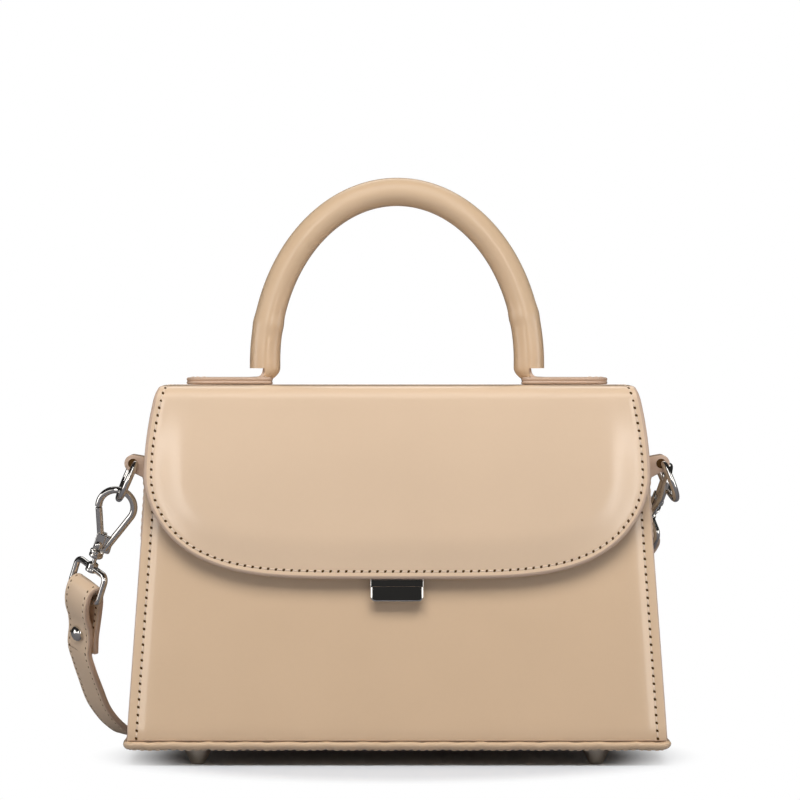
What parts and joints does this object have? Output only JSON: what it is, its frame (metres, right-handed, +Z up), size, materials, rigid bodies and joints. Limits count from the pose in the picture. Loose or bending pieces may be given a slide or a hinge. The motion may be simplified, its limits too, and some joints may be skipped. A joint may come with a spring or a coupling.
{
  "type": "handbag",
  "caption": "Small structured leather flap handbag with a tapered body, rolled top handle, side rings and a clip-on shoulder strap.",
  "frame": {"origin": "on the floor, under the middle of the base", "axes": "+Z up, -Y towards the front with the clasp, +X towards the right seen from the front"},
  "size_m": [0.2508, 0.1699, 0.2345],
  "materials": {
    "leather": "smooth calf leather with a soft sheen",
    "fibre_board": "bonded leather fibre board",
    "lining_cloth": "woven cotton lining",
    "cord_fill": "cotton filler cord",
    "nickel": "polished nickel",
    "foot_metal": "satin pale brass",
    "magnet_metal": "plain steel"
  },
  "bodies": {
    "bag": {"front_panel": "leather", "back_panel": "leather", "gusset_left": "leather", "gusset_right": "leather", "base_panel": "leather", "base_welt": "leather", "base_board": "fibre_board", "front_board": "fibre_board", "back_board": "fibre_board", "lining": "lining_cloth", "inner_pocket": "lining_cloth", "ring_loop_left": "leather", "ring_loop_right": "leather", "strike_plate": "magnet_metal", "strap": "leather", "foot_back_left": "foot_metal", "foot_back_right": "foot_metal", "foot_front_left": "foot_metal", "foot_front_right": "foot_metal", "foot_nut_back_left": "nickel", "foot_nut_back_right": "nickel", "foot_nut_front_left": "nickel", "foot_nut_front_right": "nickel"},
    "flap": {"flap_outer": "leather", "flap_lining": "leather", "crown_board": "fibre_board", "clasp_plate": "nickel", "clasp_magnet": "magnet_metal", "handle_tab_left": "leather", "handle_tab_right": "leather"},
    "handle": {"handle_roll": "leather", "handle_core": "cord_fill"},
    "ring_left": {"d_ring_left": "nickel"},
    "hook_left": {"hook_frame_left": "nickel", "swivel_pin_left": "nickel", "gate_rivet_left": "nickel"},
    "gate_left": {"hook_gate_left": "nickel"},
    "strap_end_left": {"strap_ring_left": "nickel", "strap_rivet_left": "nickel"},
    "ring_right": {"d_ring_right": "nickel"},
    "hook_right": {"hook_frame_right": "nickel", "swivel_pin_right": "nickel", "gate_rivet_right": "nickel"},
    "gate_right": {"hook_gate_right": "nickel"},
    "strap_end_right": {"strap_ring_right": "nickel", "strap_rivet_right": "nickel"}
  },
  "joints": [
    {"name": "flap_hinge", "type": "hinge", "parent": "bag", "child": "flap", "pos_m": [0, 0.0313, 0.1453], "axis": [-1, 0, 0], "range_deg": [0, 110]},
    {"name": "handle_tilt", "type": "hinge", "parent": "flap", "child": "handle", "pos_m": [0, 0, 0.16037], "axis": [1, 0, 0], "range_deg": [-20, 20], "stiffness_Nm_per_rad": 0.15},
    {"name": "ring_left_swing", "type": "hinge", "parent": "bag", "child": "ring_left", "pos_m": [-0.10677, 0, 0.1188], "axis": [0, 1, 0], "range_deg": [0, 100], "deforming": ["strap"]},
    {"name": "hook_left_swing", "type": "hinge", "parent": "ring_left", "child": "hook_left", "pos_m": [-0.11292, 0, 0.10425], "axis": [0, 1, 0], "range_deg": [0, 70], "deforming": ["strap"]},
    {"name": "gate_left_turn", "type": "hinge", "parent": "hook_left", "child": "gate_left", "pos_m": [-0.12128, 0.00544, 0.08563], "axis": [0.08, 0.9659, 0.2461], "range_deg": [0, 22], "stiffness_Nm_per_rad": 0.01},
    {"name": "strap_end_left_swivel", "type": "hinge", "parent": "hook_left", "child": "strap_end_left", "pos_m": [-0.12369, 0.00761, 0.07789], "axis": [0.2985, -0.2588, 0.9186], "range_deg": [-90, 90], "deforming": ["strap"]},
    {"name": "ring_right_swing", "type": "hinge", "parent": "bag", "child": "ring_right", "pos_m": [0.10677, 0, 0.1188], "axis": [0, -1, 0], "range_deg": [0, 100], "deforming": ["strap"]},
    {"name": "hook_right_swing", "type": "hinge", "parent": "ring_right", "child": "hook_right", "pos_m": [0.11064, 0.00612, 0.11295], "axis": [0.3891, 0, -0.9212], "range_deg": [0, 20], "deforming": ["strap"]},
    {"name": "gate_right_turn", "type": "hinge", "parent": "hook_right", "child": "gate_right", "pos_m": [0.10673, 0.02623, 0.10213], "axis": [0.9621, 0.0161, -0.2721], "range_deg": [0, 22], "stiffness_Nm_per_rad": 0.01},
    {"name": "strap_end_right_swivel", "type": "hinge", "parent": "hook_right", "child": "strap_end_right", "pos_m": [0.10527, 0.03298, 0.09735], "axis": [0.1721, -0.8103, 0.5602], "range_deg": [-12, 12], "deforming": ["strap"]}
  ]
}
